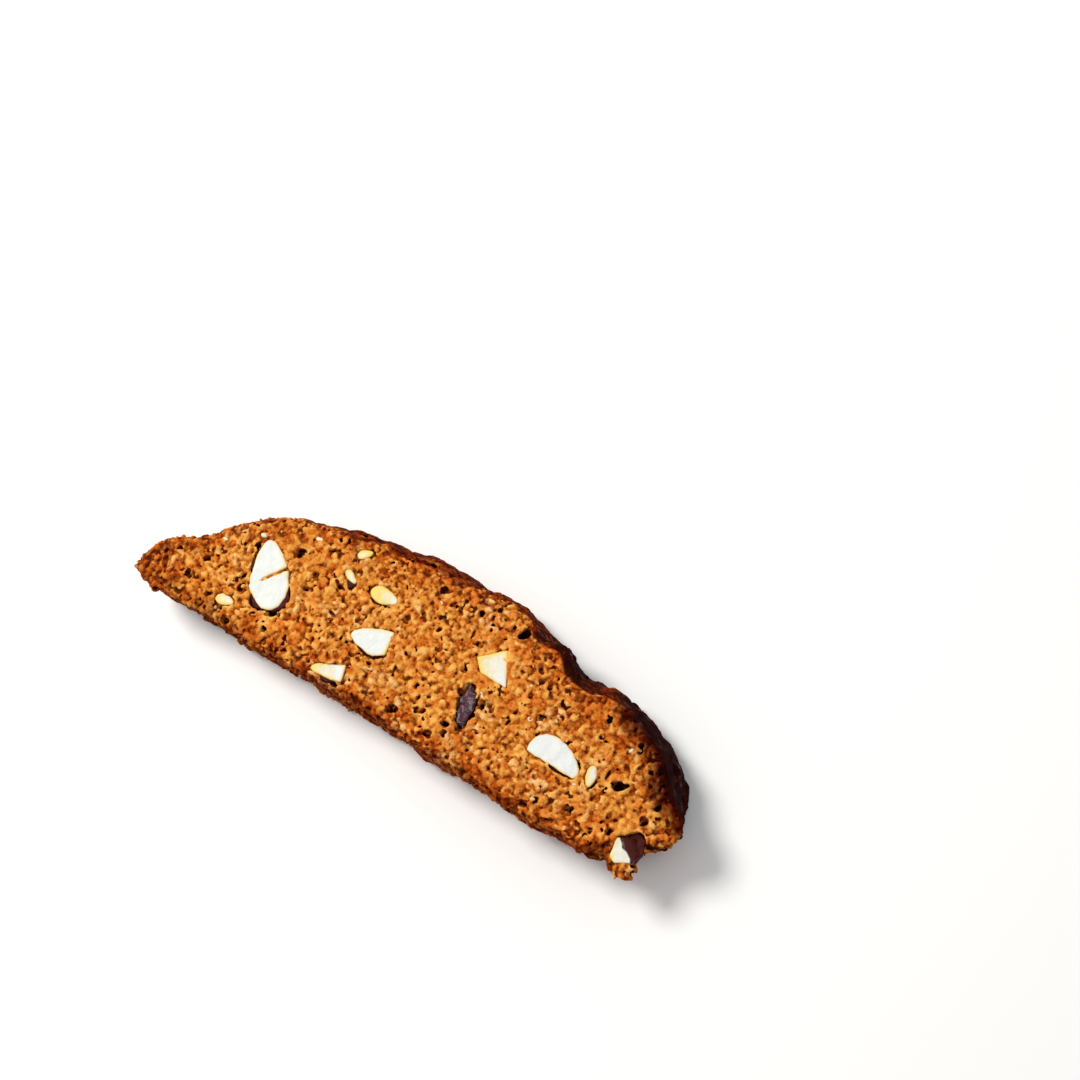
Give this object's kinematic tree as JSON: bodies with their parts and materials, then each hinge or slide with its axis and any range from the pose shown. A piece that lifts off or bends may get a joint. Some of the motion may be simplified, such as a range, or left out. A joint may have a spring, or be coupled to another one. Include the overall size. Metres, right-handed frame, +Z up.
{
  "type": "almond biscotti",
  "caption": "Long slice of twice-baked almond biscotti, cut across a low domed loaf: coarse open crumb, chopped almonds level with both cut faces, and a dark baked crust.",
  "frame": {"origin": "on the flat lower cut face, under the middle of the slice", "axes": "+X along the loaf's flat base from the slice's thin end to its blunt end, +Y from the base to the crest of the dome, +Z up out of the upper cut face"},
  "size_m": [0.1217, 0.0353, 0.015],
  "materials": {
    "baked_crumb": "dry porous golden-brown crumb on the cut faces, with a smoother dark brown crust on the dome and a browned base",
    "almond": "cut almond flesh, ivory white to cream, dull, with traces of brown skin",
    "dried_fruit": "dark purple-brown dried fruit, wrinkled and slightly glossy"
  },
  "bodies": {
    "root": {"slice": "baked_crumb", "almond_long_near": "almond", "almond_long_far": "almond", "almond_chip_thin_end": "almond", "almond_wedge": "almond", "almond_base_sliver": "almond", "almond_crest_chip": "almond", "almond_chip_upper": "almond", "almond_cream": "almond", "almond_triangle": "almond", "almond_lens": "almond", "almond_sliver": "almond", "almond_corner": "almond", "almond_under_long": "almond", "almond_under_wedge": "almond", "almond_under_half": "almond", "almond_under_thin_end": "almond", "almond_under_crest": "almond", "almond_under_base": "almond", "almond_under_chip": "almond", "dried_fruit": "dried_fruit"}
  },
  "joints": []
}
